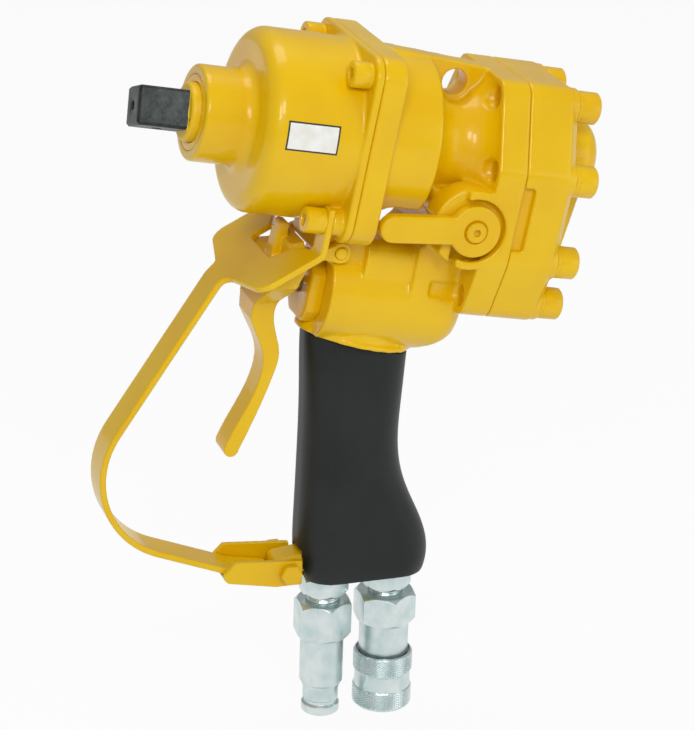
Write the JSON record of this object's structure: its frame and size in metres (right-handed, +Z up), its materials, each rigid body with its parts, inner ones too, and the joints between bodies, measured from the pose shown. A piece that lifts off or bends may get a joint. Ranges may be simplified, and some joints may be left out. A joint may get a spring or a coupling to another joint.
{
  "type": "hydraulic impact wrench",
  "caption": "Hydraulic impact wrench: slanted body with twin hammers and gear motor, square drive, guarded trigger, reversing lever, grip and quick couplings.",
  "frame": {"origin": "centre of the rear coupling's mouth, on the plane of the two coupling ends that the tool stands on", "axes": "+Z up along the grip's couplings, -X towards the square drive, -Y towards the reversing lever"},
  "size_m": [0.2551, 0.0973, 0.3685],
  "materials": {
    "yellow_paint": "gloss yellow enamel over pressed and forged steel",
    "cast_enamel": "gloss yellow enamel over cast aluminium",
    "black_oxide": "black oxide steel, light oil sheen",
    "zinc": "bright zinc plate with a faint blue cast",
    "grip_rubber": "satin charcoal rubber",
    "steel": "ground and hardened steel",
    "bronze": "plain bearing bronze",
    "seal_rubber": "black nitrile rubber",
    "spring_steel": "oiled spring wire"
  },
  "bodies": {
    "housing": {"bearing_balls": "steel", "bearing_outer_race": "steel", "cap_bolts": "yellow_paint", "cap_lock_washers": "yellow_paint", "cap_seal": "seal_rubber", "case_bolts": "yellow_paint", "case_lock_washers": "yellow_paint", "case_seal": "seal_rubber", "coupler_body": "zinc", "coupler_retaining_ring": "steel", "coupler_sleeve_spring": "spring_steel", "coupler_stem": "zinc", "coupler_valve_spring": "spring_steel", "dowel_pins": "steel", "drive_bushing": "bronze", "grip_sleeve": "grip_rubber", "guard_bolt": "yellow_paint", "guard_bracket": "yellow_paint", "guard_nut": "yellow_paint", "hammer_case": "cast_enamel", "hose_adapters": "zinc", "idler_shaft": "steel", "locking_balls": "steel", "main_housing": "cast_enamel", "nipple_body": "zinc", "nipple_guide": "steel", "nipple_spring": "spring_steel", "rear_cap": "cast_enamel", "reversing_plug": "yellow_paint", "shaft_bushings": "bronze", "shaft_seal": "seal_rubber", "spool_spring": "spring_steel", "trigger_guard": "yellow_paint", "trigger_pin": "yellow_paint", "valve_plug": "yellow_paint"},
    "square_drive": {"anvil": "black_oxide"},
    "rotor": {"hammer_frame": "steel", "hammer_pins": "steel", "drive_shaft": "steel", "drive_key": "steel", "drive_gear": "steel", "bearing_inner_race": "steel"},
    "idler": {"idler_gear": "steel"},
    "hammer_one": {"front_hammer": "steel"},
    "hammer_two": {"rear_hammer": "steel"},
    "trigger": {"trigger": "yellow_paint"},
    "valve": {"valve_spool": "steel"},
    "reversing": {"reversing_lever": "yellow_paint", "reversing_spool": "steel", "lever_screw": "yellow_paint"},
    "release_sleeve": {"coupler_sleeve": "zinc"},
    "coupler_valve": {"coupler_seal_sleeve": "zinc"},
    "nipple_valve": {"nipple_poppet": "zinc"}
  },
  "joints": [
    {"name": "drive_spin", "type": "hinge", "parent": "housing", "child": "square_drive", "pos_m": [-0.10705, 0, 0.32995], "axis": [0.9839, 0, -0.1788], "continuous": true},
    {"name": "motor_spin", "type": "hinge", "parent": "housing", "child": "rotor", "pos_m": [-0.00866, 0, 0.31207], "axis": [0.9839, 0, -0.1788], "continuous": true},
    {"name": "idler_spin", "type": "hinge", "parent": "housing", "child": "idler", "pos_m": [0.05074, 0, 0.25859], "axis": [0.9839, 0, -0.1788], "continuous": true},
    {"name": "front_hammer_swing", "type": "hinge", "parent": "rotor", "child": "hammer_one", "pos_m": [-0.05768, 0, 0.34995], "axis": [0.9839, 0, -0.1788], "range_deg": [-3, 3]},
    {"name": "rear_hammer_swing", "type": "hinge", "parent": "rotor", "child": "hammer_two", "pos_m": [-0.05409, 0, 0.29136], "axis": [0.9839, 0, -0.1788], "range_deg": [-3, 3]},
    {"name": "trigger_pull", "type": "hinge", "parent": "housing", "child": "trigger", "pos_m": [-0.03777, 0, 0.26095], "axis": [0, -1, 0], "range_deg": [0, 9.5], "stiffness_Nm_per_rad": 4, "springref_deg": -6.88},
    {"name": "valve_slide", "type": "slide", "parent": "housing", "child": "valve", "axis": [0.9839, 0, -0.1788], "range_m": [0, 0.0053], "deforming": ["spool_spring"]},
    {"name": "reversing_turn", "type": "hinge", "parent": "housing", "child": "reversing", "pos_m": [0.0222, 0, 0.27496], "axis": [0, 1, 0], "range_deg": [0, 40]},
    {"name": "sleeve_pull", "type": "slide", "parent": "housing", "child": "release_sleeve", "axis": [0, 0, 1], "range_m": [0, 0.0055], "stiffness_N_per_m": 2500, "springref_m": -0.004, "deforming": ["coupler_sleeve_spring"]},
    {"name": "coupler_valve_slide", "type": "slide", "parent": "housing", "child": "coupler_valve", "axis": [0, 0, 1], "range_m": [0, 0.011], "stiffness_N_per_m": 1200, "springref_m": -0.006, "deforming": ["coupler_valve_spring"]},
    {"name": "nipple_valve_slide", "type": "slide", "parent": "housing", "child": "nipple_valve", "axis": [0, 0, 1], "range_m": [0, 0.011], "stiffness_N_per_m": 1200, "springref_m": -0.006, "deforming": ["nipple_spring"]}
  ],
  "couplings": [
    {"joint": "idler_spin", "follows": "motor_spin", "ratio": -1},
    {"joint": "valve_slide", "follows": "trigger_pull", "m_per_rad": 0.0314}
  ]
}
